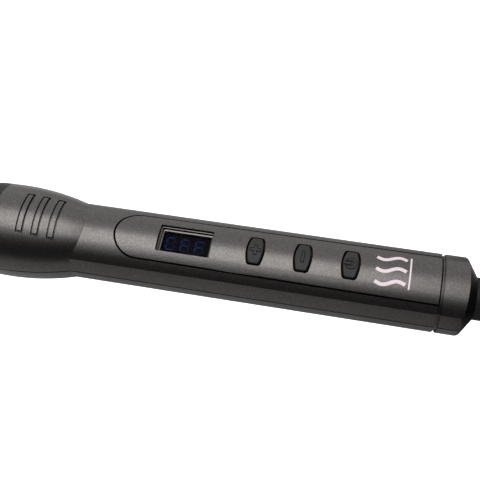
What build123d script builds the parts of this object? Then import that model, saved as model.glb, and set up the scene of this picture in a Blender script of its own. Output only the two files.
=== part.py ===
from build123d import *
import math
import os

# A clipless digital curling wand, every length in millimetres.
# The wand lies along X. The mouth of its swivelling cord sleeve is at x = 0, the hot barrel points
# towards -X, and +Z comes out of the middle of the control panel.

# ---------------------------------------------------------------- driving dimensions

# Handle skin
grip_radius = 16.8          # round underside, and the creases along the top
crown_height = 15.4         # the top between the creases is a flatter arc
bell_radius = 21.05
bell_arc = 113.0            # lengthwise radius of the flared front
crease_angle = 57.0         # from +Z, where the round top turns into a flatter flank
flank_radius = 16.55        # from the axis to the middle of a flank
seam_z = 2.0                # height of the joint between the shells
cavity_radius = 13.0        # inside of the straight handle
bell_cavity_radius = 18.3
skin_depth = 0.6            # depth of the seam line and of the grooves round the grip bars

# Stations along X
sleeve_mouth_x = 0.0
tail_face_x = -15.5
tail_cone_x = -20.3
bush_x = -17.2
cavity_end_x = -22.0
ring_groove_x = -30.15
shield_x = -204.0
socket_front_x = -219.0
bell_apex_x = -219.0
bell_front_x = -223.1
nose_front_x = -240.0
barrel_taper_x = -244.0
barrel_end_x = -390.0
wand_tip_x = -411.0

# Tail
tail_face_radius = 9.6
sleeve_radius = 9.05
cord_bore_radius = 3.6
cord_bore_length = 24.0
ring_groove_width = 1.4
ring_groove_depth = 0.75

# Grip bars on the bell
bar_first_x = -209.95
bar_pitch = 6.8
bar_width = 2.7
bar_length = 18.8
bar_middle_y = 0.3
bar_gap = 0.8
bar_rise = 0.2

# Control panel
panel_tip_x = -169.5
panel_half_width = 10.1     # at the round tip, widening a little towards the tail
panel_tail_half_width = 10.7
panel_gap = 0.5
panel_thickness = 1.35
pocket_depth = 1.4

# Display
window_x = -138.8
window_length = 23.2
window_width = 12.3
ledge = 0.5                 # width of each sloping step down to the display
ledge_fall = 0.15           # how far each step slopes down across its width
shell_ledge_z = 13.0
pad_under_z = 11.3          # underside of the flat pad that backs the opening
frame_ledge_z = 11.1
lens_top_z = 10.0
module_top_z = 9.4
digit_pitch = 6.4
digit_height = 6.4
digit_width = 4.3
segment_width = 0.85
digits_x = window_x - 0.6

# Buttons
button_x = {"plus": -108.1, "minus": -88.0, "power": -67.95}
well_half_width = 3.85
well_half_end = 2.7
well_half_height = 6.45
well_corner = 1.3
button_gap = 0.65
button_rise = 0.55          # how far the caps stand above the crown
symbol_rise = 0.2
symbol_moat = 0.32          # width and depth of the groove round each raised sign
seam_half_width = 0.28
edge_break = 0.2            # chamfer on the painted edges
flange_top_z = 10.7
flange_bottom_z = 9.8
plunger_bottom_z = 9.4

# Circuit board
board_front_x = -162.0
board_rear_x = -55.0
board_top_z = 5.0
board_thickness = 1.6
board_half_width = 11.0
board_screw_x = (-158.0, -58.5)
shell_screw_x = (-182.0, -118.0, -49.5)

# Barrel
barrel_radius = 12.7
barrel_tip_radius = 9.5
barrel_wall = 1.2
barrel_base_x = -206.0
heater_front_x = -356.0
heater_rear_x = -246.0
carrier_front_x = -370.0
carrier_rear_x = -247.0
barrel_gap = 0.15


# ---------------------------------------------------------------- shared geometry

def at_angle(radius, angle):
    """A point of a cross-section, with the angle measured from +Z towards +Y."""
    turn = math.radians(angle)
    return (radius * math.sin(turn), radius * math.cos(turn))


crease_y, crease_z = at_angle(grip_radius, crease_angle)
crown_sagitta = crown_height - crease_z
crown_radius = (crease_y**2 + crown_sagitta**2) / (2 * crown_sagitta)
crown_centre_z = crown_height - crown_radius


def bell_radius_at(x):
    """Outside radius of the bell, a long arc about its widest point."""
    return bell_radius - bell_arc + math.sqrt(bell_arc**2 - (x - bell_apex_x) ** 2)


def bell_x_at(radius):
    """Where the bell has shrunk to this radius, on its handle side."""
    return bell_apex_x + math.sqrt(bell_arc**2 - (bell_arc - bell_radius + radius) ** 2)


def barrel_radius_at(x):
    """Outside radius of the tapered barrel."""
    share = (barrel_taper_x - x) / (barrel_taper_x - barrel_end_x)
    return barrel_radius - (barrel_radius - barrel_tip_radius) * max(share, 0.0)


def bell_profile(offset, front_x, rear_x):
    """Closed half profile of the bell in the XZ plane, grown outwards by offset."""
    middle_x = (front_x + rear_x) / 2
    front = (front_x, bell_radius_at(front_x) + offset)
    middle = (middle_x, bell_radius_at(middle_x) + offset)
    rear = (rear_x, bell_radius_at(rear_x) + offset)
    with BuildSketch() as outline:
        with BuildLine():
            ThreePointArc(front, middle, rear)
            Polyline(rear, (rear_x, 0), (front_x, 0), front)
        make_face()
    return outline.sketch


def grip_outline():
    """Section of the straight handle: round below, a flatter crown, and flanks between."""
    seam_angle = math.degrees(math.acos(seam_z / grip_radius))
    flank_angle = (crease_angle + seam_angle) / 2
    with BuildSketch() as outline:
        with BuildLine():
            ThreePointArc(
                at_angle(grip_radius, -crease_angle),
                (0, crown_height),
                at_angle(grip_radius, crease_angle),
            )
            for side in (-1, 1):
                ThreePointArc(
                    at_angle(grip_radius, side * crease_angle),
                    at_angle(flank_radius, side * flank_angle),
                    at_angle(grip_radius, side * seam_angle),
                )
            ThreePointArc(
                at_angle(grip_radius, seam_angle),
                at_angle(grip_radius, 180),
                at_angle(grip_radius, -seam_angle),
            )
        make_face()
    return outline.sketch


def panel_outline(growth):
    """Plan of the control panel: a strip with a round front end, running to the ring groove."""
    half_width = panel_half_width + growth
    tail_half_width = panel_tail_half_width + growth
    front_x = panel_tip_x - growth
    centre_x = front_x + half_width
    rear_x = ring_groove_x - ring_groove_width / 2 + growth
    with BuildSketch() as outline:
        with BuildLine():
            Line((rear_x, tail_half_width), (centre_x, half_width))
            ThreePointArc((centre_x, half_width), (front_x, 0), (centre_x, -half_width))
            Line((centre_x, -half_width), (rear_x, -tail_half_width))
            Line((rear_x, -tail_half_width), (rear_x, tail_half_width))
        make_face()
    return outline.sketch


def button_outline(inset):
    """Plan of a button: a barrel shape, longer across the handle than along it."""
    half_width = well_half_width - inset
    half_end = well_half_end - inset
    half_height = well_half_height - inset
    with BuildSketch() as outline:
        with BuildLine():
            ThreePointArc((half_end, -half_height), (half_width, 0), (half_end, half_height))
            Line((half_end, half_height), (-half_end, half_height))
            ThreePointArc((-half_end, half_height), (-half_width, 0), (-half_end, -half_height))
            Line((-half_end, -half_height), (half_end, -half_height))
        make_face()
        fillet(outline.vertices(), well_corner - inset / 2)
    return outline.sketch


def window_outline(height, inset):
    """Plan of the display's opening at this height, drawn in on every side."""
    with BuildSketch(Plane.XY.offset(height)) as outline:
        with Locations((window_x, 0)):
            RectangleRounded(window_length - 2 * inset, window_width - 2 * inset, 0.5)
    return outline.sketch


def display_funnel(inset, ledge_z):
    """The space over and through one step of the display's opening, with a sloping ledge."""
    with BuildPart() as funnel:
        add(window_outline(ledge_z, inset))
        extrude(amount=grip_radius + 1 - ledge_z)
        add(window_outline(ledge_z, inset))
        add(window_outline(ledge_z - ledge_fall, inset + ledge))
        loft(ruled=True)
        add(window_outline(ledge_z - ledge_fall, inset + ledge))
        extrude(amount=board_top_z - ledge_z)
    return funnel.part


def edges_on_skin(builder):
    """The builder's edges that lie on the crown of the straight handle."""
    found = ShapeList()
    for edge in builder.edges():
        spots = [edge @ share for share in (0, 0.3, 0.5, 0.7, 1)]
        if all(abs(math.hypot(spot.Y, spot.Z - crown_centre_z) - crown_radius) < 0.01 for spot in spots):
            found.append(edge)
    return found


def along_x(radius, x_low, x_high, mode=Mode.ADD):
    """A round bar about the wand's axis."""
    with Locations(((x_low + x_high) / 2, 0, 0)):
        Cylinder(radius, x_high - x_low, rotation=(0, 90, 0), mode=mode)


def under_crown(depth, x_low, x_high, mode=Mode.ADD):
    """A round bar whose top lies this deep under the handle's crown, everywhere across it."""
    with Locations(((x_low + x_high) / 2, 0, crown_centre_z)):
        Cylinder(crown_radius - depth, x_high - x_low, rotation=(0, 90, 0), mode=mode)


def upright(radius, x, y, z_low, z_high, mode=Mode.ADD):
    """A round bar parallel to Z."""
    with Locations((x, y, (z_low + z_high) / 2)):
        Cylinder(radius, z_high - z_low, mode=mode)


def block(x_low, x_high, y_low, y_high, z_low, z_high, mode=Mode.ADD):
    """A rectangular block given by its faces."""
    with Locations(((x_low + x_high) / 2, (y_low + y_high) / 2, (z_low + z_high) / 2)):
        Box(x_high - x_low, y_high - y_low, z_high - z_low, mode=mode)


def wire_along(points, radius):
    """A round wire through the points, bent at each of them as gently as its two runs allow."""
    corners = [Vector(*point) for point in points]
    runs = [after - before for before, after in zip(corners, corners[1:])]
    bends = []
    for before, after in zip(runs, runs[1:]):
        half_turn = math.radians(before.get_angle(after)) / 2
        bends.append(0.45 * min(before.length, after.length) / math.tan(half_turn))
    with BuildPart() as wire:
        with BuildLine() as route:
            FilletPolyline(*corners, radius=bends)
        with BuildSketch(Plane(origin=route.line @ 0, z_dir=route.line % 0)):
            Circle(radius)
        sweep(path=route.line)
    return wire.part


# ---------------------------------------------------------------- reference solids

# The whole outside of the handle, before it is split into shells.
with BuildPart() as handle_outside:
    with BuildSketch(Plane.YZ.offset(bell_apex_x)):
        add(grip_outline())
    extrude(amount=tail_face_x - bell_apex_x)
    with BuildSketch(Plane.XZ):
        with BuildLine():
            Polyline(
                (bell_apex_x - 1, 0),
                (bell_apex_x - 1, grip_radius + 8),
                (tail_cone_x - 6, grip_radius + 8),
                (tail_cone_x - 6, grip_radius + 0.4),
                (tail_cone_x, grip_radius - 0.05),
                (tail_face_x, tail_face_radius),
                (tail_face_x, 0),
                (bell_apex_x - 1, 0),
            )
        make_face()
        fillet(vertices().group_by(Axis.X)[-2].sort_by(Axis.Y)[-1], 2.5)
    revolve(axis=Axis.X, mode=Mode.INTERSECT)
    with BuildSketch(Plane.XZ):
        add(bell_profile(0, bell_front_x, bell_x_at(crown_height - 0.2)))
    revolve(axis=Axis.X)

# The same skin, shrunk by the depth of its grooves.
with BuildPart() as skin_core:
    with BuildSketch(Plane.XZ):
        add(bell_profile(-skin_depth, bell_front_x - 1, bell_x_at(grip_radius)))
    revolve(axis=Axis.X)
    with BuildSketch(Plane.XZ):
        with BuildLine():
            Polyline(
                (bell_apex_x, 0),
                (bell_apex_x, grip_radius - skin_depth),
                (tail_cone_x - 0.4, grip_radius - skin_depth),
                (tail_face_x - 0.6, tail_face_radius - 0.2),
                (tail_face_x - 0.6, 0),
                (bell_apex_x, 0),
            )
        make_face()
    revolve(axis=Axis.X)

# The thin groove that shows where the two shells meet.
with BuildPart() as seam_groove:
    half = seam_half_width
    block(bell_front_x - 1, tail_face_x + 1, -30, 30, seam_z - half, seam_z + half)
    add(skin_core.part, mode=Mode.SUBTRACT)

# The ring groove that marks off the tail cap, with a shallow step for its broken edges.
with BuildPart() as ring_groove:
    half_groove = ring_groove_width / 2
    steps = ((half_groove, ring_groove_depth), (half_groove + edge_break, edge_break / 2))
    for half_width, depth in steps:
        with BuildSketch(Plane.YZ.offset(ring_groove_x - half_width)):
            Circle(grip_radius + 1)
            offset(grip_outline(), amount=-depth, mode=Mode.SUBTRACT)
        extrude(amount=2 * half_width)

# Everything inside the shells: bell, handle, bush seat and the opening for the cord sleeve.
with BuildPart() as cavity:
    with BuildSketch(Plane.XZ):
        with BuildLine():
            Polyline(
                (bell_front_x - 1, 0),
                (bell_front_x - 1, bell_cavity_radius),
                (shield_x + 1, bell_cavity_radius),
                (bell_x_at(grip_radius) - 2, cavity_radius),
                (cavity_end_x, cavity_radius),
                (cavity_end_x, 11.05),
                (bush_x, 11.05),
                (bush_x, sleeve_radius + 0.3),
                (tail_face_x + 1, sleeve_radius + 0.3),
                (tail_face_x + 1, 0),
                (bell_front_x - 1, 0),
            )
        make_face()
    revolve(axis=Axis.X)

# Plan outlines of the grip bars, deep enough to reach from outside the bell into its wall.
with BuildPart() as grip_grooves:
    with BuildSketch(Plane.XY.offset(bell_radius + 2)):
        for index in range(3):
            with Locations((bar_first_x + index * bar_pitch, bar_middle_y)):
                RectangleRounded(bar_width + bar_gap, bar_length + bar_gap, 0.5)
                Rectangle(bar_width - bar_gap, bar_length - bar_gap, mode=Mode.SUBTRACT)
    extrude(amount=-14)
    add(skin_core.part, mode=Mode.SUBTRACT)

with BuildPart() as grip_bars:
    with BuildSketch(Plane.XY.offset(bell_radius + 2)):
        for index in range(3):
            with Locations((bar_first_x + index * bar_pitch, bar_middle_y)):
                Rectangle(bar_width - bar_gap, bar_length - bar_gap)
    extrude(amount=-8)
    with BuildSketch(Plane.XZ):
        add(bell_profile(bar_rise, bell_front_x, bell_x_at(grip_radius)))
    revolve(axis=Axis.X, mode=Mode.INTERSECT)


# ---------------------------------------------------------------- handle shells

# Bosses that hang from the upper shell's ceiling, for the board and for the lower shell's screws.
with BuildPart() as upper_bosses:
    for x in board_screw_x:
        upright(2.2, x, 0, board_top_z, grip_radius)
    for x in shell_screw_x:
        upright(2.8, x, 0, seam_z - 1, grip_radius)
    along_x(cavity_radius + 0.6, bell_front_x, tail_face_x, Mode.INTERSECT)
    for x in board_screw_x:
        upright(0.95, x, 0, board_top_z, 11, Mode.SUBTRACT)
    for x in shell_screw_x:
        upright(1.25, x, 0, seam_z - 1, 11, Mode.SUBTRACT)

# A flat pad under the shell's ceiling, where the display's frame sits.
with BuildPart() as window_pad:
    pad_length = window_length / 2 + 1.6
    block(window_x - pad_length, window_x + pad_length, -7.6, 7.6, pad_under_z, crown_height)
    along_x(cavity_radius + 0.6, window_x - 20, window_x + 20, Mode.INTERSECT)

# Hidden tongue-and-rebate joint that keeps the shells in line.
with BuildPart() as tongue:
    block(-184, -34, -20, 20, seam_z, seam_z + 1.2)
    along_x(cavity_radius + 0.9, -184, -34, Mode.INTERSECT)
    along_x(cavity_radius, -185, -33, Mode.SUBTRACT)

with BuildPart() as rebate:
    block(-184.5, -33.5, -20, 20, seam_z, seam_z + 1.4)
    along_x(cavity_radius + 1.05, -184.5, -33.5, Mode.INTERSECT)
    along_x(cavity_radius - 1, -185, -33, Mode.SUBTRACT)

# The pocket for the control panel follows the curve of the handle.
with BuildPart() as panel_pocket:
    with BuildSketch(Plane.XY.offset(grip_radius + 1)):
        add(panel_outline(panel_gap))
    extrude(amount=-grip_radius / 2)
    under_crown(pocket_depth, panel_tip_x - 2, ring_groove_x + 2, Mode.SUBTRACT)

# Openings through the pocket's floor: one for the display, one for each button.
with BuildPart() as floor_openings:
    with BuildSketch(Plane.XY.offset(grip_radius)):
        for x in button_x.values():
            with Locations((x, 0)):
                add(button_outline(0))
    extrude(amount=-grip_radius / 2)
    add(display_funnel(0, shell_ledge_z))

with BuildPart() as upper_shell:
    add(handle_outside.part)
    add(grip_bars.part)
    add(cavity.part, mode=Mode.SUBTRACT)
    block(bell_front_x - 1, tail_face_x + 1, -30, 30, -30, seam_z, Mode.SUBTRACT)
    add(upper_bosses.part)
    add(window_pad.part)
    add(panel_pocket.part, mode=Mode.SUBTRACT)
    skin_edges = edges_on_skin(upper_shell).filter_by_position(Axis.Z, panel_half_width, grip_radius)
    chamfer(skin_edges.filter_by_position(Axis.X, panel_tip_x - 2, ring_groove_x + 2), edge_break)
    for cutter in (floor_openings, grip_grooves, ring_groove, seam_groove, rebate):
        add(cutter.part, mode=Mode.SUBTRACT)

# Screw towers that rise from the lower shell's floor to just under the upper shell's bosses.
with BuildPart() as lower_towers:
    for x in shell_screw_x:
        upright(3.6, x, 0, -grip_radius, seam_z - 1.1)
    along_x(cavity_radius + 0.6, bell_front_x, tail_face_x, Mode.INTERSECT)

# Crosswise ribs that stiffen the lower shell.
with BuildPart() as lower_ribs:
    for x in (-168, -148, -134, -104, -90, -76, -62):
        along_x(cavity_radius + 0.6, x - 0.6, x + 0.6)
    block(-200, -20, -20, 20, -10.8, 20, Mode.SUBTRACT)

with BuildPart() as lower_shell:
    add(handle_outside.part)
    add(cavity.part, mode=Mode.SUBTRACT)
    block(bell_front_x - 1, tail_face_x + 1, -30, 30, seam_z, 30, Mode.SUBTRACT)
    add(lower_towers.part)
    add(lower_ribs.part)
    add(tongue.part)
    for x in shell_screw_x:
        upright(2.7, x, 0, -grip_radius - 1, -7, Mode.SUBTRACT)
        upright(1.35, x, 0, -grip_radius - 1, seam_z, Mode.SUBTRACT)
    for cutter in (ring_groove, seam_groove):
        add(cutter.part, mode=Mode.SUBTRACT)

# Pan-head self-tapping screws, driven in from underneath.
with BuildPart() as shell_screws:
    for x in shell_screw_x:
        upright(2.4, x, 0, -8.6, -7)
        upright(1.2, x, 0, -7, 9.5)
        upright(0.9, x, 0, -8.6, -7.7, Mode.SUBTRACT)

# ---------------------------------------------------------------- control panel and display

with BuildPart() as control_panel:
    with BuildSketch(Plane.XY.offset(grip_radius + 1)):
        add(panel_outline(0))
    extrude(amount=-grip_radius / 2)
    add(handle_outside.part, mode=Mode.INTERSECT)
    under_crown(panel_thickness, panel_tip_x - 2, ring_groove_x + 2, Mode.SUBTRACT)
    with BuildSketch(Plane.XY.offset(grip_radius + 1)):
        with Locations((window_x, 0)):
            RectangleRounded(window_length, window_width, 0.5)
        for x in button_x.values():
            with Locations((x, 0)):
                add(button_outline(0))
    extrude(amount=-grip_radius / 2, mode=Mode.SUBTRACT)
    chamfer(edges_on_skin(control_panel), edge_break)

# The frame round the display, a flat collar under the shell's ceiling.
with BuildPart() as display_frame:
    with BuildSketch(Plane.XY.offset(board_top_z + 1)):
        with Locations((window_x, 0)):
            Rectangle(window_length + 1.6, window_width + 0.9)
    extrude(amount=frame_ledge_z - board_top_z - 1)
    add(display_funnel(ledge, frame_ledge_z), mode=Mode.SUBTRACT)

with BuildPart() as display_lens:
    add(window_outline(module_top_z + 0.2, 2 * ledge + 0.05))
    extrude(amount=lens_top_z - module_top_z - 0.2)

with BuildPart() as display_module:
    block(window_x - 10.2, window_x + 10.2, -4.8, 4.8, board_top_z + 1.2, module_top_z)
    for x in (-7.62, -5.08, -2.54, 0, 2.54, 5.08, 7.62):
        for y in (-3.81, 3.81):
            upright(0.25, window_x + x, y, board_top_z, board_top_z + 1.2)

# Seven flat bars for each of three digits, on the face of the module.
with BuildPart() as display_digits:
    with BuildSketch(Plane.XY.offset(module_top_z)):
        for index in (-1, 0, 1):
            digit_x = digits_x + index * digit_pitch
            long_bar = (digit_height - segment_width) / 2 - 0.5
            short_bar = digit_width - segment_width - 0.5
            for row in (-1, 0, 1):
                with Locations((digit_x, row * (digit_height - segment_width) / 2)):
                    SlotOverall(short_bar, segment_width)
            for column in (-1, 1):
                for row in (-1, 1):
                    x = digit_x + column * (digit_width - segment_width) / 2
                    y = row * (digit_height - segment_width) / 4
                    with Locations((x, y)):
                        SlotOverall(long_bar, segment_width, rotation=90)
    extrude(amount=0.1)


# ---------------------------------------------------------------- buttons

# Signs on the buttons, drawn to be read with the barrel pointing away. Growth widens them.
def plus_outline(growth):
    with BuildSketch(Plane.XY.offset(crown_height - 0.5)) as outline:
        RectangleRounded(4.4 + 2 * growth, 1.0 + 2 * growth, 0.3)
        RectangleRounded(1.0 + 2 * growth, 4.4 + 2 * growth, 0.3)
    return outline.sketch


def minus_outline(growth):
    with BuildSketch(Plane.XY.offset(crown_height - 0.5)) as outline:
        RectangleRounded(1.0 + 2 * growth, 4.6 + 2 * growth, 0.3)
    return outline.sketch


def power_outline(growth):
    with BuildSketch(Plane.XY.offset(crown_height - 0.5)) as outline:
        Circle(2.3 + growth)
        Circle(1.35 - growth, mode=Mode.SUBTRACT)
        with Locations((-2, 0)):
            Rectangle(3, 2.5 - 2 * growth, mode=Mode.SUBTRACT)
        with Locations((-1.6, 0)):
            RectangleRounded(3.2 + 2 * growth, 0.9 + 2 * growth, 0.3)
    return outline.sketch


def button_with(sign_outline, x):
    """A button whose raised sign stands in a narrow groove of its own shape."""
    with BuildPart() as moat:
        add(sign_outline(symbol_moat))
        extrude(amount=3)
        under_crown(symbol_moat - button_rise, -9, 9, Mode.SUBTRACT)
    with BuildPart() as sign:
        add(sign_outline(0))
        extrude(amount=3)
        under_crown(-button_rise - symbol_rise, -9, 9, Mode.INTERSECT)
    with BuildPart() as button:
        add(button_blank.part)
        add(moat.part, mode=Mode.SUBTRACT)
        add(sign.part)
    return button.part.moved(Location((x, 0, 0)))


# One button: a domed cap, a flange that stays under the shell, and a post over its switch.
with BuildPart() as button_blank:
    with BuildSketch(Plane.XY.offset(flange_bottom_z)):
        add(button_outline(button_gap))
    extrude(amount=grip_radius)
    under_crown(-button_rise, -20, 20, Mode.INTERSECT)
    fillet(button_blank.faces().sort_by(Axis.Z)[-1].edges(), 0.5)
    with BuildSketch(Plane.XY.offset(flange_bottom_z)):
        add(button_outline(-0.4))
    extrude(amount=flange_top_z - flange_bottom_z)
    upright(1.8, 0, 0, plunger_bottom_z, flange_bottom_z + 0.1)

with BuildPart() as button_plus:
    add(button_with(plus_outline, button_x["plus"]))

with BuildPart() as button_minus:
    add(button_with(minus_outline, button_x["minus"]))

with BuildPart() as button_power:
    add(button_with(power_outline, button_x["power"]))


# ---------------------------------------------------------------- electronics

board_under_z = board_top_z - board_thickness

with BuildPart() as circuit_board:
    block(
        board_front_x, board_rear_x, -board_half_width, board_half_width, board_under_z, board_top_z
    )
    fillet(circuit_board.edges().filter_by(Axis.Z), 1.5)
    for x in board_screw_x:
        upright(1.3, x, 0, board_under_z, board_top_z, Mode.SUBTRACT)
    # The middle shell screw's boss passes through the board.
    upright(3.4, shell_screw_x[1], 0, board_under_z, board_top_z, Mode.SUBTRACT)

with BuildPart() as board_screws:
    for x in board_screw_x:
        upright(2.1, x, 0, board_under_z - 1.5, board_under_z)
        upright(0.9, x, 0, board_under_z, 10.5)
        block(x - 1.3, x + 1.3, -0.3, 0.3, board_under_z - 1.5, board_under_z - 0.8, Mode.SUBTRACT)
        block(x - 0.3, x + 0.3, -1.3, 1.3, board_under_z - 1.5, board_under_z - 0.8, Mode.SUBTRACT)

# Tact switches, one under each button, with their short actuators.
with BuildPart() as tact_switches:
    for x in button_x.values():
        block(x - 3, x + 3, -3, 3, board_top_z, board_top_z + 3.5)
        upright(1.75, x, 0, board_top_z + 3.5, plunger_bottom_z - 0.7)
        for side_x in (-3.4, 3.4):
            for side_y in (-2.25, 2.25):
                block(
                    x + min(side_x, side_x * 0.88), x + max(side_x, side_x * 0.88),
                    side_y - 0.35, side_y + 0.35, board_top_z, board_top_z + 1.6,
                )

# The microcontroller, on the solder side, with gull-wing legs.
with BuildPart() as control_chip:
    block(-138, -128, -2, 2, board_under_z - 1.7, board_under_z - 0.1)
    for index in range(8):
        x = -137.45 + index * 1.27
        for side in (-1, 1):
            y_low, y_high = sorted((side * 2, side * 3.1))
            block(x - 0.2, x + 0.2, y_low, y_high, board_under_z - 0.9, board_under_z - 0.6)
            y_low, y_high = sorted((side * 2.8, side * 3.1))
            block(x - 0.2, x + 0.2, y_low, y_high, board_under_z - 0.9, board_under_z)

# The triac that switches the heater, on its three bent legs.
with BuildPart() as triac:
    block(-152, -142, 2.5, 7, -9.5, -0.5)
    block(-152, -142, 6.5, 7.8, -9.5, 2.2)
    for x in (-149.54, -147, -144.46):
        block(x - 0.4, x + 0.4, 3.5, 4.1, -0.5, board_under_z)

with BuildPart() as film_capacitor:
    block(-100, -82, -8.5, -1.5, -9, board_under_z - 0.4)
    fillet(film_capacitor.edges().filter_by(Axis.Z), 0.8)
    for x in (-98.5, -83.5):
        upright(0.4, x, -5, board_under_z - 0.5, board_under_z)

with BuildPart() as filter_capacitor:
    with Locations((-91, 4.6, -3)):
        Cylinder(4.5, 17, rotation=(0, 90, 0))
    fillet(filter_capacitor.edges().filter_by(GeomType.CIRCLE), 0.6)
    for y in (3.35, 5.85):
        with Locations((-81.9, y, -3)):
            Cylinder(0.3, 1.8, rotation=(0, 90, 0))
        block(-81.3, -80.7, y - 0.3, y + 0.3, -3.3, board_under_z)

with BuildPart() as board_fuse:
    block(-74, -66, -7.5, -3.5, board_under_z - 7.5, board_under_z - 0.3)
    fillet(board_fuse.edges().filter_by(Axis.Z), 0.6)
    for x in (-72.5, -67.5):
        upright(0.3, x, -5.5, board_under_z - 0.4, board_under_z)


# ---------------------------------------------------------------- barrel and heater

with BuildPart() as nose_ring:
    with BuildSketch(Plane.XZ):
        with BuildLine():
            shoulder = Line((bell_front_x, bell_radius_at(bell_front_x)), (-227.5, 20.85))
            crown = TangentArc((-227.5, 20.85), (nose_front_x, 15.2), tangent=shoulder % 1)
            lip = TangentArc(crown @ 1, (nose_front_x - 0.5, 13.4), tangent=crown % 1)
            Polyline(
                lip @ 1,
                (socket_front_x - 3, 13.4),
                (socket_front_x - 3, 16.0),
                (socket_front_x - 0.1, 16.0),
                (socket_front_x - 0.1, bell_cavity_radius - 0.1),
                (bell_front_x, bell_cavity_radius - 0.1),
                (bell_front_x, bell_radius_at(bell_front_x)),
            )
        make_face()
    revolve(axis=Axis.X)

with BuildPart() as barrel_socket:
    along_x(bell_cavity_radius - 0.2, socket_front_x, shield_x - 0.2)
    along_x(barrel_radius + 0.05, socket_front_x, barrel_base_x, Mode.SUBTRACT)
    along_x(barrel_radius - 2.2, barrel_base_x, shield_x, Mode.SUBTRACT)
    for side in (-1, 1):
        with Locations((-212.5, side * 15, 0)):
            Cylinder(1.2, 8, rotation=(90, 0, 0), mode=Mode.SUBTRACT)
        with Locations((-212.5, side * 17.7, 0)):
            Cylinder(2.4, 2.4, rotation=(90, 0, 0), mode=Mode.SUBTRACT)

with BuildPart() as barrel_screws:
    for side in (-1, 1):
        with Locations((-212.5, side * 17.15, 0)):
            Cylinder(2.2, 1.3, rotation=(90, 0, 0))
        with Locations((-212.5, side * 13.75, 0)):
            Cylinder(1.1, 5.5, rotation=(90, 0, 0))

with BuildPart() as heat_shield:
    along_x(bell_cavity_radius - 0.3, shield_x, shield_x + 0.9)
    for y in (-5, 5):
        with Locations((shield_x + 0.45, y, -4)):
            Cylinder(1.4, 2, rotation=(0, 90, 0), mode=Mode.SUBTRACT)
    for y in (-4, 4):
        with Locations((shield_x + 0.45, y, 6.5)):
            Cylinder(0.9, 2, rotation=(0, 90, 0), mode=Mode.SUBTRACT)

with BuildPart() as barrel:
    with BuildSketch(Plane.XZ):
        with BuildLine():
            Polyline(
                (barrel_base_x, barrel_radius),
                (barrel_taper_x, barrel_radius),
                (barrel_end_x, barrel_tip_radius),
                (barrel_end_x, barrel_tip_radius - barrel_wall),
                (barrel_taper_x, barrel_radius - barrel_wall),
                (barrel_base_x, barrel_radius - barrel_wall),
                (barrel_base_x, barrel_radius),
            )
        make_face()
    revolve(axis=Axis.X)
    with Locations((-212.5, 0, 0)):
        Cylinder(1.2, 40, rotation=(90, 0, 0), mode=Mode.SUBTRACT)

with BuildPart() as cool_tip:
    with BuildSketch(Plane.XZ):
        with BuildLine():
            Polyline(
                (barrel_end_x + 9, 0),
                (barrel_end_x + 9, barrel_tip_radius - barrel_wall - 0.1),
                (barrel_end_x, barrel_tip_radius - barrel_wall - 0.1),
                (barrel_end_x, barrel_tip_radius + 0.5),
                (wand_tip_x, barrel_tip_radius - 1.2),
                (wand_tip_x, 0),
                (barrel_end_x + 9, 0),
            )
        make_face()
        fillet(vertices().group_by(Axis.X)[0].sort_by(Axis.Y)[-1], 2.5)
        fillet(vertices().group_by(Axis.Y)[-1], 0.6)
    revolve(axis=Axis.X)
    along_x(1.65, wand_tip_x, barrel_end_x + 10, Mode.SUBTRACT)
    along_x(3.3, wand_tip_x, wand_tip_x + 5, Mode.SUBTRACT)
    # Shallow grip rings round the tip.
    for x in (-397, -400, -403):
        with Locations((x, 0, 0)):
            Torus(barrel_tip_radius + 0.25, 0.55, rotation=(0, 90, 0), mode=Mode.SUBTRACT)

with BuildPart() as tip_screw:
    along_x(3.0, wand_tip_x + 2.4, wand_tip_x + 5)
    along_x(1.5, wand_tip_x + 5, -375)
    block(wand_tip_x + 2, wand_tip_x + 3.6, -2.1, 2.1, -0.35, 0.35, Mode.SUBTRACT)
    block(wand_tip_x + 2, wand_tip_x + 3.6, -0.35, 0.35, -2.1, 2.1, Mode.SUBTRACT)

with BuildPart() as tip_bracket:
    along_x(barrel_radius_at(-378) - barrel_wall - 0.15, -379.5, -378)
    along_x(3.2, -378, -374.5)
    along_x(1.55, -380, -374, Mode.SUBTRACT)

# Two aluminium half-cones that press the flat heater's warmth into the barrel's wall.
with BuildPart() as carrier_cone:
    with BuildSketch(Plane.XZ):
        with BuildLine():
            inner = barrel_wall + barrel_gap
            Polyline(
                (carrier_rear_x, 0),
                (carrier_rear_x, barrel_radius_at(carrier_rear_x) - inner),
                (carrier_front_x, barrel_radius_at(carrier_front_x) - inner),
                (carrier_front_x, 0),
                (carrier_rear_x, 0),
            )
        make_face()
    revolve(axis=Axis.X)

with BuildPart() as heater_carrier_upper:
    add(carrier_cone.part)
    block(carrier_front_x - 1, carrier_rear_x + 1, -20, 20, -20, 1.15, Mode.SUBTRACT)
    with Locations((carrier_rear_x - 6, 0, 5.5)):
        Cylinder(1.35, 14, rotation=(0, 90, 0), mode=Mode.SUBTRACT)

with BuildPart() as heater_carrier_lower:
    add(carrier_cone.part)
    block(carrier_front_x - 1, carrier_rear_x + 1, -20, 20, -1.15, 20, Mode.SUBTRACT)

with BuildPart() as ceramic_heater:
    block(heater_front_x, heater_rear_x, -6, 6, -0.85, 0.85)

with BuildPart() as mica_sheets:
    block(heater_front_x - 2, heater_rear_x - 1, -7, 7, 0.9, 1.1)
    block(heater_front_x - 2, heater_rear_x - 1, -7, 7, -1.1, -0.9)

with BuildPart() as temperature_sensor:
    with Locations((carrier_rear_x - 6, 0, 5.5)):
        Cylinder(1.15, 8, rotation=(0, 90, 0))
    fillet(temperature_sensor.edges(), 0.9)

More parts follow.
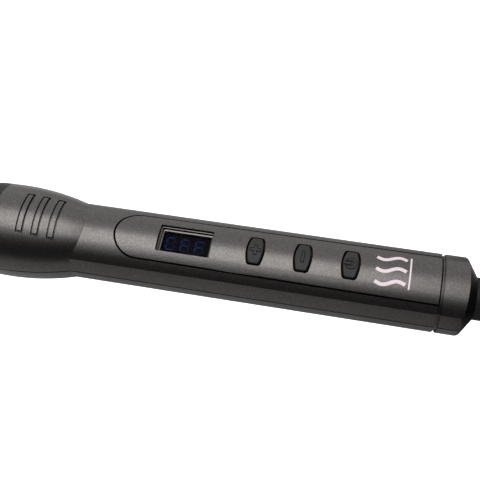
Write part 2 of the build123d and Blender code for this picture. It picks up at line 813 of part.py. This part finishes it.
with BuildPart() as thermal_fuse:
    with Locations((-231, 0, -7)):
        Cylinder(1.9, 9, rotation=(0, 90, 0))
        Cylinder(0.45, 15, rotation=(0, 90, 0))


# ---------------------------------------------------------------- swivelling cord sleeve

with BuildPart() as swivel_bush:
    along_x(11.0, cavity_end_x, bush_x - 0.1)
    along_x(sleeve_radius + 0.05, cavity_end_x, bush_x, Mode.SUBTRACT)

flange_front_x = cavity_end_x - 2.3
ring_seat_radius = 6.0
journal_radius = 5.0
with BuildPart() as cord_sleeve:
    along_x(sleeve_radius, flange_front_x, sleeve_mouth_x)
    fillet(cord_sleeve.edges().sort_by(Axis.X)[-1], 0.8)
    along_x(11.5, flange_front_x, cavity_end_x - 0.3)
    along_x(ring_seat_radius, -40, flange_front_x)
    along_x(journal_radius, -43.5, -40)
    along_x(cord_bore_radius, -cord_bore_length, sleeve_mouth_x, Mode.SUBTRACT)
    along_x(2.0, -44, -cord_bore_length, Mode.SUBTRACT)

with BuildPart() as slip_rings:
    for x in (-29, -35):
        along_x(7.0, x - 1.5, x + 1.5)
    along_x(ring_seat_radius, -40, flange_front_x, Mode.SUBTRACT)

# The fixed carrier: a cup that holds the sleeve's inner end and the two contact brushes.
with BuildPart() as swivel_carrier:
    along_x(cavity_radius - 0.15, -44, -24.8)
    along_x(8.6, -41.5, -24, Mode.SUBTRACT)
    along_x(journal_radius + 0.05, -45, -41, Mode.SUBTRACT)
    for x in (-29, -35):
        block(x - 1.3, x + 1.3, -1.6, 1.6, -14, -8, Mode.SUBTRACT)

with BuildPart() as contact_brushes:
    for x in (-29, -35):
        block(x - 1.2, x + 1.2, -1.5, 1.5, -11, -7.3)
    along_x(7.35, -40, -25, Mode.SUBTRACT)

# Coil springs that push the brushes on to the rings.
with BuildPart() as brush_springs:
    for x in (-29, -35):
        upright(1.1, x, 0, -12.7, -11)
        upright(0.7, x, 0, -14, -10, Mode.SUBTRACT)


# ---------------------------------------------------------------- internal wiring

heater_route = [
    (heater_rear_x, 3, 0),
    (-238, 3, 0),
    (-222, 5, -4),
    (-200, 5.2, -4),
    (-184, 7.5, -3),
    (-167, 7.4, -2.4),
    (-158, 7.2, -2.6),
    (-158, 7.2, board_under_z),
]
sensor_route = [
    (-249, 0.6, 5.5),
    (-238, 0.6, 5.5),
    (-222, 3.9, 6.5),
    (-200, 4.1, 6.5),
    (-184, 6.2, 7.6),
    (-168, 6.5, 8.6),
    (-159.5, 6.6, 8.8),
    (-159.5, 6.6, board_top_z),
]
mains_route = [
    (-44, 8.5, -6),
    (-50, 8.5, -6),
    (-58, 7.6, -3.5),
    (-58, 7.6, board_under_z),
]


def mirrored(route):
    """The same route on the other side of the XZ plane."""
    return [(x, -y, z) for x, y, z in route]


with BuildPart() as heater_leads:
    for route in (heater_route, mirrored(heater_route)):
        add(wire_along(route, 0.9))

with BuildPart() as sensor_leads:
    for route in (sensor_route, mirrored(sensor_route)):
        add(wire_along(route, 0.45))

with BuildPart() as mains_leads:
    for route in (mains_route, mirrored(mains_route)):
        add(wire_along(route, 0.9))


# ---------------------------------------------------------------- export

pieces = {
    "upper_shell": upper_shell,
    "lower_shell": lower_shell,
    "shell_screws": shell_screws,
    "control_panel": control_panel,
    "display_frame": display_frame,
    "display_lens": display_lens,
    "display_module": display_module,
    "display_digits": display_digits,
    "button_plus": button_plus,
    "button_minus": button_minus,
    "button_power": button_power,
    "circuit_board": circuit_board,
    "board_screws": board_screws,
    "tact_switches": tact_switches,
    "control_chip": control_chip,
    "triac": triac,
    "film_capacitor": film_capacitor,
    "filter_capacitor": filter_capacitor,
    "board_fuse": board_fuse,
    "nose_ring": nose_ring,
    "barrel_socket": barrel_socket,
    "barrel_screws": barrel_screws,
    "heat_shield": heat_shield,
    "barrel": barrel,
    "cool_tip": cool_tip,
    "tip_screw": tip_screw,
    "tip_bracket": tip_bracket,
    "heater_carrier_upper": heater_carrier_upper,
    "heater_carrier_lower": heater_carrier_lower,
    "ceramic_heater": ceramic_heater,
    "mica_sheets": mica_sheets,
    "temperature_sensor": temperature_sensor,
    "thermal_fuse": thermal_fuse,
    "swivel_bush": swivel_bush,
    "cord_sleeve": cord_sleeve,
    "slip_rings": slip_rings,
    "swivel_carrier": swivel_carrier,
    "contact_brushes": contact_brushes,
    "brush_springs": brush_springs,
    "heater_leads": heater_leads,
    "sensor_leads": sensor_leads,
    "mains_leads": mains_leads,
}

os.makedirs("parts", exist_ok=True)
for name, piece in pieces.items():
    piece.part.label = name
    export_step(piece.part, f"parts/{name}.step")
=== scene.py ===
import math

import bmesh
import bpy
from mathutils import Matrix, Vector


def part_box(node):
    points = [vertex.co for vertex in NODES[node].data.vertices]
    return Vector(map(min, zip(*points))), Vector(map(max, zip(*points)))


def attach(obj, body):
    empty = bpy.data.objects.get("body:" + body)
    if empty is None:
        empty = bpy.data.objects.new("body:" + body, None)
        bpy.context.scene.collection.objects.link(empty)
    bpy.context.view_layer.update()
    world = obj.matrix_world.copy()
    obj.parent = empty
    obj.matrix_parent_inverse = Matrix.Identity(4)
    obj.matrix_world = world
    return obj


# The looks of the curling wand: finishes for the CAD nodes, the printed mark, the lit display,
# and the studio. The wand lies along X with its barrel towards -X, and +Z comes out of the panel.

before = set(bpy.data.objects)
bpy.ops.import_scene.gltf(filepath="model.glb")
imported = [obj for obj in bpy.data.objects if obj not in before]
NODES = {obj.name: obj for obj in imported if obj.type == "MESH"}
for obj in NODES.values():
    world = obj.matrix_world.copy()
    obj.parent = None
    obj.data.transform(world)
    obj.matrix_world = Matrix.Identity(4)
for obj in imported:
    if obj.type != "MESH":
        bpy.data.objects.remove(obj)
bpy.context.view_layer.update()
MM = 0.001
GROOVE_SAMPLES = 12


# ---------------------------------------------------------------- helpers for materials

def principled(name, colour, roughness, **sockets):
    """A material whose plain values sit on the shader's own sockets."""
    made = bpy.data.materials.new(name)
    made.use_nodes = True
    shader = made.node_tree.nodes["Principled BSDF"]
    shader.inputs["Base Color"].default_value = (*colour, 1)
    shader.inputs["Roughness"].default_value = roughness
    for socket, value in sockets.items():
        shader.inputs[socket.replace("_", " ")].default_value = value
    return made


def shader_of(material):
    return material.node_tree.nodes["Principled BSDF"]


def texture(material, kind, size_mm, stretch=(1, 1, 1), **settings):
    """A procedural texture in object space, with features about size_mm across."""
    nodes, links = material.node_tree.nodes, material.node_tree.links
    place = nodes.new("ShaderNodeTexCoord")
    mapping = nodes.new("ShaderNodeMapping")
    mapping.inputs["Scale"].default_value = stretch
    made = nodes.new("ShaderNodeTex" + kind)
    made.inputs["Scale"].default_value = 1 / (size_mm * MM)
    for name, value in settings.items():
        made.inputs[name.replace("_", " ")].default_value = value
    links.new(place.outputs["Object"], mapping.inputs["Vector"])
    links.new(mapping.outputs["Vector"], made.inputs["Vector"])
    return made


def random_of(material, cells):
    """One random number for each cell of a Voronoi texture."""
    split = material.node_tree.nodes.new("ShaderNodeSeparateColor")
    material.node_tree.links.new(cells.outputs["Color"], split.inputs["Color"])
    return split.outputs["Red"]


def colour_by(material, source, stops):
    """Base colour from a ramp of (position, colour) stops along the source's value."""
    nodes, links = material.node_tree.nodes, material.node_tree.links
    ramp = nodes.new("ShaderNodeValToRGB")
    while len(ramp.color_ramp.elements) < len(stops):
        ramp.color_ramp.elements.new(0.5)
    for element, (position, colour) in zip(ramp.color_ramp.elements, stops):
        element.position = position
        element.color = (*colour, 1)
    links.new(source, ramp.inputs["Fac"])
    links.new(ramp.outputs["Color"], shader_of(material).inputs["Base Color"])


def roughness_by(material, source, low, high):
    """Roughness that runs from low to high as the source runs from 0 to 1."""
    nodes, links = material.node_tree.nodes, material.node_tree.links
    spread = nodes.new("ShaderNodeMapRange")
    spread.inputs["To Min"].default_value = low
    spread.inputs["To Max"].default_value = high
    links.new(source, spread.inputs["Value"])
    links.new(spread.outputs["Result"], shader_of(material).inputs["Roughness"])


def relief(material, source, depth_mm):
    """Surface relief of that depth, added on top of any relief that is there already."""
    nodes, links = material.node_tree.nodes, material.node_tree.links
    bump = nodes.new("ShaderNodeBump")
    bump.inputs["Distance"].default_value = depth_mm * MM
    bump.inputs["Strength"].default_value = 1.0
    links.new(source, bump.inputs["Height"])
    normal = shader_of(material).inputs["Normal"]
    if normal.is_linked:
        links.new(normal.links[0].from_socket, bump.inputs["Normal"])
    links.new(bump.outputs["Normal"], normal)


def paint_groove_shade(material, reach_mm, open_from, open_to, deepest=0.06):
    """Painted shade: base colour falls towards black where the surface is shut in by what is within
    reach, as in grooves and gaps.
    """
    nodes, links = material.node_tree.nodes, material.node_tree.links
    shut_in = nodes.new("ShaderNodeAmbientOcclusion")
    shut_in.samples = GROOVE_SAMPLES
    shut_in.inputs["Distance"].default_value = reach_mm * MM
    openness = nodes.new("ShaderNodeMapRange")
    openness.inputs["From Min"].default_value = open_from
    openness.inputs["From Max"].default_value = open_to
    openness.inputs["To Min"].default_value = deepest
    links.new(shut_in.outputs["AO"], openness.inputs["Value"])
    painted_shade = nodes.new("ShaderNodeVectorMath")
    painted_shade.operation = "SCALE"
    base = shader_of(material).inputs["Base Color"]
    links.new(base.links[0].from_socket, painted_shade.inputs[0])
    links.new(openness.outputs["Result"], painted_shade.inputs["Scale"])
    links.new(painted_shade.outputs["Vector"], base)


def shade(colour, factor):
    return tuple(channel * factor for channel in colour)


# ---------------------------------------------------------------- finishes

def metallic_paint():
    """Charcoal paint with fine metal flake, over a faint orange peel, with painted shade in its
    grooves.
    """
    tone = (0.0625, 0.0590, 0.0573)
    paint = principled("metallic_paint", tone, 0.31, Metallic=1.0)
    flakes = texture(paint, "Voronoi", 0.20)
    colour_by(paint, random_of(paint, flakes), [
        (0.0, shade(tone, 0.74)),
        (0.55, shade(tone, 0.93)),
        (0.88, shade(tone, 1.18)),
        (1.0, shade(tone, 1.80)),
    ])
    peel = texture(paint, "Noise", 0.16, Detail=1.0)
    relief(paint, peel.outputs["Fac"], 0.010)
    # Painted shade in the grooves and gaps: the seam, the panel's outline, the ring groove and round
    # the grip bars.
    paint_groove_shade(paint, 1.2, open_from=0.35, open_to=0.92)
    return paint


def moulded(name, colour, roughness, grain_mm=0.4, depth_mm=0.012, **sockets):
    """Moulded plastic or rubber: a fine grain, with slightly uneven gloss and tone."""
    made = principled(name, colour, roughness, **sockets)
    cloud = texture(made, "Noise", 9, Detail=3.0)
    colour_by(made, cloud.outputs["Fac"], [(0.3, shade(colour, 0.85)), (0.7, shade(colour, 1.15))])
    grain = texture(made, "Noise", grain_mm, Detail=3.0)
    roughness_by(made, grain.outputs["Fac"], roughness - 0.08, min(roughness + 0.08, 1))
    relief(made, grain.outputs["Fac"], depth_mm)
    return made


def metal(name, colour, roughness, stretch=(1, 1, 1)):
    """Bare metal with fine tool marks, drawn out along the axes that stretch makes small."""
    made = principled(name, colour, roughness, Metallic=1.0)
    marks = texture(made, "Noise", 0.25, stretch=stretch, Detail=4.0)
    colour_by(made, marks.outputs["Fac"], [(0.3, shade(colour, 0.82)), (0.7, shade(colour, 1.08))])
    roughness_by(made, marks.outputs["Fac"], roughness - 0.07, roughness + 0.1)
    relief(made, marks.outputs["Fac"], 0.004)
    return made


def circuit_laminate():
    """Green solder mask over copper tracks that show as slightly raised, lighter bands."""
    green = (0.006, 0.075, 0.028)
    made = principled("circuit_laminate", green, 0.35, Coat_Weight=0.3)
    tracks = texture(made, "Brick", 7, stretch=(1, 0.6, 1))
    tracks.inputs["Mortar Size"].default_value = 0.06
    colour_by(made, tracks.outputs["Fac"], [(0.0, green), (1.0, shade(green, 1.9))])
    relief(made, tracks.outputs["Fac"], 0.035)
    return made


def printed_ink():
    """Pale pink screen print, a little uneven where the ink is thin."""
    pink = (0.36, 0.30, 0.325)
    made = principled("printed_ink", pink, 0.5)
    thin = texture(made, "Noise", 0.5, Detail=3.0)
    colour_by(made, thin.outputs["Fac"], [(0.25, shade(pink, 0.78)), (0.6, pink)])
    relief(made, thin.outputs["Fac"], 0.006)
    return made


def smoked_acrylic():
    """A dark, clear window: see-through by its alpha, hazy, and with no gloss of its own."""
    made = principled("smoked_acrylic", (0, 0, 0), 0.45, Alpha=0.2, Specular_IOR_Level=0.0)
    haze = texture(made, "Noise", 3, Detail=2.0)
    roughness_by(made, haze.outputs["Fac"], 0.40, 0.50)
    return made


def display_segment(name, colour, glow):
    """A diffusing segment of the display, its tone varied by a soft mottle."""
    made = principled(name, colour, 0.6, Emission_Strength=glow, IOR=1.15)
    mottle = texture(made, "Noise", 0.6, Detail=2.0)
    colour_by(made, mottle.outputs["Fac"], [(0.3, shade(colour, 0.7)), (0.7, shade(colour, 1.2))])
    shader_of(made).inputs["Emission Color"].default_value = (0.05, 0.07, 1.0, 1)
    return made


def barrel_coating():
    """Dark ceramic coating with sparse mineral specks."""
    tone = (0.020, 0.019, 0.021)
    made = principled("barrel_coating", tone, 0.22, Coat_Weight=0.4, Coat_Roughness=0.15)
    specks = texture(made, "Voronoi", 0.5)
    colour_by(made, random_of(made, specks), [
        (0.0, shade(tone, 0.8)),
        (0.9, shade(tone, 1.3)),
        (0.97, shade(tone, 5.0)),
    ])
    spray = texture(made, "Noise", 1.2, Detail=3.0)
    roughness_by(made, spray.outputs["Fac"], 0.18, 0.30)
    relief(made, spray.outputs["Fac"], 0.006)
    return made


FINISHES = {
    "metallic_paint": metallic_paint(),
    "black_collar": moulded("black_collar", (0.007, 0.007, 0.007), 0.45, IOR=1.2),
    "black_frame": moulded("black_frame", (0.016, 0.013, 0.010), 0.24, 0.3, 0.003, IOR=1.65),
    "black_sleeve": moulded("black_sleeve", (0.0045, 0.0045, 0.0045), 0.5, IOR=1.22),
    "button_rubber": moulded("button_rubber", (0.012, 0.012, 0.012), 0.55, 0.3, 0.010, IOR=1.24),
    "smoked_acrylic": smoked_acrylic(),
    "display_face": moulded("display_face", (0.0035, 0.0035, 0.006), 0.5, 0.5, 0.004, IOR=1.12),
    "dark_segment": display_segment("dark_segment", (0.008, 0.008, 0.014), 0.0),
    "lit_segment": display_segment("lit_segment", (0.012, 0.015, 0.05), 0.035),
    "barrel_coating": barrel_coating(),
    "circuit_laminate": circuit_laminate(),
    "component_black": moulded("component_black", (0.018, 0.018, 0.019), 0.5, 0.2, 0.006),
    "capacitor_yellow": moulded("capacitor_yellow", (0.62, 0.40, 0.05), 0.4, 1.2, 0.02),
    "capacitor_sleeve": moulded("capacitor_sleeve", (0.012, 0.020, 0.075), 0.32, 1.5, 0.01),
    "phenolic": moulded("phenolic", (0.075, 0.032, 0.014), 0.55, 0.6, 0.02),
    "mica": moulded("mica", (0.42, 0.30, 0.15), 0.25, 1.6, 0.03, Sheen_Weight=0.3),
    "heater_ceramic": moulded("heater_ceramic", (0.72, 0.71, 0.68), 0.5, 0.5, 0.01),
    "nylon": moulded("nylon", (0.68, 0.66, 0.60), 0.45, 0.7, 0.01),
    "wire_white": moulded("wire_white", (0.70, 0.70, 0.68), 0.4, 0.8, 0.008),
    "wire_black": moulded("wire_black", (0.015, 0.015, 0.016), 0.4, 0.8, 0.008),
    "carbon": moulded("carbon", (0.020, 0.020, 0.022), 0.7, 0.15, 0.01, Metallic=0.3),
    "printed_ink": printed_ink(),
    "screw_steel": metal("screw_steel", (0.50, 0.49, 0.47), 0.3),
    "aluminium": metal("aluminium", (0.76, 0.76, 0.77), 0.38, stretch=(0.08, 1, 1)),
    "brass": metal("brass", (0.72, 0.50, 0.20), 0.28, stretch=(1, 0.2, 0.2)),
}

# Painted shade on the buttons, deepest in the gaps at their sides and round their raised signs.
paint_groove_shade(FINISHES["button_rubber"], 1.0, open_from=0.4, open_to=0.9)

FINISH_OF = {
    "metallic_paint": ["upper_shell", "lower_shell", "control_panel"],
    "black_collar": ["nose_ring", "cool_tip"],
    "black_frame": ["display_frame"],
    "black_sleeve": ["cord_sleeve"],
    "button_rubber": ["button_plus", "button_minus", "button_power"],
    "smoked_acrylic": ["display_lens"],
    "display_face": ["display_module"],
    "dark_segment": ["display_digits"],
    "barrel_coating": ["barrel"],
    "circuit_laminate": ["circuit_board"],
    "component_black": ["control_chip", "triac", "tact_switches", "board_fuse"],
    "capacitor_yellow": ["film_capacitor"],
    "capacitor_sleeve": ["filter_capacitor"],
    "phenolic": ["barrel_socket"],
    "mica": ["mica_sheets", "heat_shield"],
    "heater_ceramic": ["ceramic_heater"],
    "nylon": ["swivel_bush", "swivel_carrier"],
    "wire_white": ["heater_leads", "sensor_leads"],
    "wire_black": ["mains_leads", "thermal_fuse"],
    "carbon": ["contact_brushes"],
    "screw_steel": ["shell_screws", "board_screws", "barrel_screws", "tip_screw", "brush_springs"],
    "aluminium": ["heater_carrier_upper", "heater_carrier_lower", "tip_bracket"],
    "brass": ["slip_rings", "temperature_sensor"],
}


def paint_nodes():
    for finish, names in FINISH_OF.items():
        for name in names:
            slots = NODES[name].data.materials
            for index in range(len(slots)):
                slots[index] = FINISHES[finish]


# ---------------------------------------------------------------- the display's lit segments

SEGMENT_WIDTH = 0.85 * MM
SEGMENT_GAP = 0.5 * MM
DIGIT_WIDTH = 4.3 * MM
LIT_LIFT = 0.02 * MM
LIT_THICKNESS = 0.05 * MM

ROUND_END_STEPS = 8

# Which bars of each of the three digits glow.
LIT_DIGITS = [
    ("top", "left_high", "left_low", "bottom"),
    ("top", "middle", "left_high", "left_low"),
    ("top", "middle", "left_high", "left_low"),
]


def lit_segments():
    """Thin glowing bars just above the display's unlit ones."""
    low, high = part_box("display_digits")
    centre = (low + high) / 2
    pitch = (high.x - low.x - DIGIT_WIDTH) / 2
    row = (high.y - low.y - SEGMENT_WIDTH) / 2
    column = (DIGIT_WIDTH - SEGMENT_WIDTH) / 2
    bars = {
        "top": (0, row, False),
        "middle": (0, 0, False),
        "bottom": (0, -row, False),
        "left_high": (-column, row / 2, True),
        "left_low": (-column, -row / 2, True),
    }
    mesh = bmesh.new()
    for index, lit in enumerate(LIT_DIGITS):
        for name in lit:
            x, y, upright = bars[name]
            half_length = (row if upright else DIGIT_WIDTH - SEGMENT_WIDTH) / 2 - SEGMENT_GAP / 2
            along = Vector((0, 1, 0)) if upright else Vector((1, 0, 0))
            place = Vector((centre.x + (index - 1) * pitch + x, centre.y + y, high.z + LIT_LIFT))
            add_slot(mesh, place, along, half_length, SEGMENT_WIDTH / 2, LIT_THICKNESS)
    return piece_from(mesh, "lit_segments", "lit_segment", "handle")


def add_slot(mesh, place, along, half_length, radius, thickness):
    """A flat bar with round ends, standing up from place by its thickness."""
    across = Vector((-along.y, along.x, 0))
    outline = []
    for end in (1, -1):
        for step in range(ROUND_END_STEPS + 1):
            turn = math.pi * (step / ROUND_END_STEPS - 0.5)
            reach = end * (half_length - radius + radius * math.cos(turn))
            outline.append(place + along * reach + across * end * radius * math.sin(turn))
    add_prism(mesh, outline, [point + Vector((0, 0, thickness)) for point in outline])


def add_prism(mesh, bottom, top):
    """A closed solid between two loops of points."""
    low = [mesh.verts.new(point) for point in bottom]
    high = [mesh.verts.new(point) for point in top]
    mesh.faces.new(reversed(low))
    mesh.faces.new(high)
    for index, corner in enumerate(low):
        after = (index + 1) % len(low)
        mesh.faces.new((corner, low[after], high[after], high[index]))


def piece_from(mesh, name, finish, body):
    """A finished object from a bmesh, riding on a body."""
    bmesh.ops.recalc_face_normals(mesh, faces=mesh.faces)
    data = bpy.data.meshes.new(name)
    mesh.to_mesh(data)
    mesh.free()
    data.materials.append(FINISHES[finish])
    piece = bpy.data.objects.new(name, data)
    bpy.context.scene.collection.objects.link(piece)
    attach(piece, body)
    return piece


# ---------------------------------------------------------------- the printed mark

MARK_LENGTH = 12.4 * MM
MARK_WIDTH = 14.7 * MM
MARK_TO_PANEL_END = 14.3 * MM
STROKE_WIDTH = 1.5 * MM
WAVE_HEIGHT = 1.0 * MM
RULE_WIDTH = 0.7 * MM
RULE_GAP = 1.6 * MM
INK_THICKNESS = 0.03 * MM
INK_ROOT = 0.05 * MM
CROWN_RADIUS = 19.0 * MM
STROKE_STEPS = 24


def printed_mark():
    """A plain heat sign on the panel, three wavy strokes and a rule, wrapped on its round top."""
    low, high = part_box("control_panel")
    skin = high.z
    end_x = high.x - MARK_TO_PANEL_END
    mesh = bmesh.new()
    for lane in (-1, 0, 1):
        middle = lane * (MARK_WIDTH - STROKE_WIDTH - 2 * WAVE_HEIGHT) / 2
        line = []
        for step in range(STROKE_STEPS + 1):
            share = step / STROKE_STEPS
            sway = WAVE_HEIGHT * math.sin(2 * math.pi * share)
            line.append((end_x - MARK_LENGTH * share, middle + sway))
        add_stroke(mesh, line, STROKE_WIDTH, skin)
    rule_x = end_x + RULE_GAP
    rule = [(rule_x, MARK_WIDTH * (step / STROKE_STEPS - 0.5)) for step in range(STROKE_STEPS + 1)]
    add_stroke(mesh, rule, RULE_WIDTH, skin)
    return piece_from(mesh, "printed_mark", "printed_ink", "handle")


def add_stroke(mesh, line, width, skin):
    """A thin ribbon of ink along a line of (x, arc length round the crown) points."""
    centre_z = skin - CROWN_RADIUS
    rows = []
    for index, (x, arc) in enumerate(line):
        before, after = line[max(index - 1, 0)], line[min(index + 1, len(line) - 1)]
        heading = Vector((after[0] - before[0], after[1] - before[1])).normalized()
        side = Vector((-heading.y, heading.x)) * width / 2
        row = []
        for sign, lift in ((-1, -INK_ROOT), (1, -INK_ROOT), (1, INK_THICKNESS), (-1, INK_THICKNESS)):
            turn = (arc + sign * side.y) / CROWN_RADIUS
            radius = CROWN_RADIUS + lift
            y, z = radius * math.sin(turn), centre_z + radius * math.cos(turn)
            row.append(mesh.verts.new((x + sign * side.x, y, z)))
        rows.append(row)
    for row, following in zip(rows, rows[1:]):
        for index in range(4):
            after = (index + 1) % 4
            mesh.faces.new((row[index], row[after], following[after], following[index]))
    mesh.faces.new(rows[0])
    mesh.faces.new(reversed(rows[-1]))


# ---------------------------------------------------------------- studio

CAMERA_PLACE = Vector((-68.338, -145.587, 309.197)) * MM
CAMERA_TURN = (27.8484, 3.4261, 11.0568)
CAMERA_LENS_MM = 58.92
CAMERA_SENSOR_MM = 36.0
FLOOR_DROP = 150 * MM
FLOOR_HALF = 12.0
SKY_RADIANCE = 1.65

# The overhead softbox: its tilt in degrees, and the rest in metres and radiance.
SOFTBOX_TILT = 1
SOFTBOX_DISTANCE = 1.0
SOFTBOX_SIZE = (0.98, 0.73)
SOFTBOX_RADIANCE = 4.5
SOFTBOX_X = -0.44

# Upright cards in metres. The room beyond the near side is dark, and higher up towards the
# cord's end, with a dim strip between the dark and the sky.
NEAR_CARD_Y = -0.6
END_CARD_X = 0.9
END_CARD_FAR_Y = 0.9
END_CARD_TOP = 0.9
DARK_FOOT = [(-1.6, -0.149), (1.4, -0.149)]
DARK_TOP = [(1.4, 1.6), (0.1, 1.12), (-0.15, 0.64), (-1.6, 0.58)]
DIM_TOP = [(1.4, 1.9), (0.1, 1.35), (-0.15, 0.90), (-1.6, 0.84)]
DARK_SIDE_RADIANCE = 0.11
DIM_SIDE_RADIANCE = 0.6
DARK_END_RADIANCE = 0.05

# The table under the wand: how far it reaches to each side in mm, its bands from the wand's
# middle line outwards (inner mm, outer mm, radiance), and its runs along the wand (start m,
# end m, share of the radiance).
TABLE_Z = -21.3 * MM
TABLE_REACH = {-1: 230, 1: 900}
TABLE_BANDS = [(0, 10, 0.05), (10, 14, 0.12), (14, 18, 0.28), (18, 22, 0.45), (22, 27, 0.62),
               (27, 34, 0.78), (34, 45, 0.88), (45, 900, 0.95)]
TABLE_RUNS = [(-0.9, -0.16, 0.88), (-0.16, -0.11, 0.90), (-0.11, -0.06, 0.85),
              (-0.06, -0.015, 0.75), (-0.015, 0.01, 0.45), (0.01, 0.9, 0.12)]


def make_camera():
    """A camera over the control panel, looking a little towards the barrel from the near side."""
    lens = bpy.data.cameras.new("camera")
    lens.lens = CAMERA_LENS_MM
    lens.sensor_width = CAMERA_SENSOR_MM
    lens.clip_start = 0.01
    lens.clip_end = 40.0
    camera = bpy.data.objects.new("camera", lens)
    camera.location = CAMERA_PLACE
    camera.rotation_euler = [math.radians(angle) for angle in CAMERA_TURN]
    bpy.context.scene.collection.objects.link(camera)
    bpy.context.scene.camera = camera


def softbox(name, angle, reach, size, radiance, x):
    """A rectangular light over the wand, tilted from +Z towards +Y by angle, facing the wand."""
    light = bpy.data.lights.new(name, "AREA")
    light.shape = "RECTANGLE"
    light.size, light.size_y = size
    light.energy = radiance * math.pi * size[0] * size[1]
    box = bpy.data.objects.new(name, light)
    turn = math.radians(angle)
    box.location = (x, reach * math.sin(turn), reach * math.cos(turn))
    box.rotation_euler = (-turn, 0, 0)
    bpy.context.scene.collection.objects.link(box)


def stage_plane(name, corners, material):
    mesh = bmesh.new()
    mesh.faces.new([mesh.verts.new(corner) for corner in corners])
    data = bpy.data.meshes.new(name)
    mesh.to_mesh(data)
    mesh.free()
    data.materials.append(material)
    plane = bpy.data.objects.new(name, data)
    bpy.context.scene.collection.objects.link(plane)
    return plane


def make_floor():
    half = FLOOR_HALF
    paper = principled("floor_paper", (0.8, 0.8, 0.8), 0.9, Specular_IOR_Level=0.0)
    stage_plane("floor", [(-half, -half, -FLOOR_DROP), (half, -half, -FLOOR_DROP),
                          (half, half, -FLOOR_DROP), (-half, half, -FLOOR_DROP)], paper)


def reflector(name, corners, radiance):
    """A card that only shows up in the wand's reflections."""
    glow = bpy.data.materials.new(name)
    glow.use_nodes = True
    nodes = glow.node_tree.nodes
    nodes.clear()
    light = nodes.new("ShaderNodeEmission")
    light.inputs["Color"].default_value = (1, 1, 1, 1)
    light.inputs["Strength"].default_value = radiance
    surface = nodes.new("ShaderNodeOutputMaterial")
    glow.node_tree.links.new(light.outputs["Emission"], surface.inputs["Surface"])
    card = stage_plane(name, corners, glow)
    card.visible_camera = False
    card.visible_diffuse = False
    card.visible_shadow = False
    card.visible_transmission = False


def make_studio():
    world = bpy.data.worlds.new("studio")
    bpy.context.scene.world = world
    world.use_nodes = True
    sky = world.node_tree.nodes["Background"]
    sky.inputs["Color"].default_value = (1, 1, 1, 1)
    sky.inputs["Strength"].default_value = SKY_RADIANCE
    bpy.context.scene.view_settings.view_transform = "Standard"
    softbox("overhead_softbox", SOFTBOX_TILT, SOFTBOX_DISTANCE, SOFTBOX_SIZE, SOFTBOX_RADIANCE,
            SOFTBOX_X)
    dark = DARK_FOOT + DARK_TOP
    dim = DARK_TOP + DIM_TOP[::-1]
    reflector("dark_side", [(x, NEAR_CARD_Y, z) for x, z in dark], DARK_SIDE_RADIANCE)
    reflector("dim_side", [(x, NEAR_CARD_Y, z) for x, z in dim], DIM_SIDE_RADIANCE)
    reflector("dark_end", [
        (END_CARD_X, NEAR_CARD_Y, TABLE_Z),
        (END_CARD_X, END_CARD_FAR_Y, TABLE_Z),
        (END_CARD_X, END_CARD_FAR_Y, END_CARD_TOP),
        (END_CARD_X, NEAR_CARD_Y, END_CARD_TOP),
    ], DARK_END_RADIANCE)
    # The table as the wand's reflections show it: a painted contact shadow under the wand, then
    # pale, and fading towards the cord's end as painted shade of the cord beyond the sleeve.
    for start, end, share in TABLE_RUNS:
        for inner, outer, radiance in TABLE_BANDS:
            for side in (-1, 1):
                near, far = side * inner * MM, side * min(outer, TABLE_REACH[side]) * MM
                reflector("table_band", [
                    (start, near, TABLE_Z),
                    (end, near, TABLE_Z),
                    (end, far, TABLE_Z),
                    (start, far, TABLE_Z),
                ], radiance * share)


# ---------------------------------------------------------------- scene

paint_nodes()
lit_segments()
printed_mark()
make_camera()
make_floor()
make_studio()
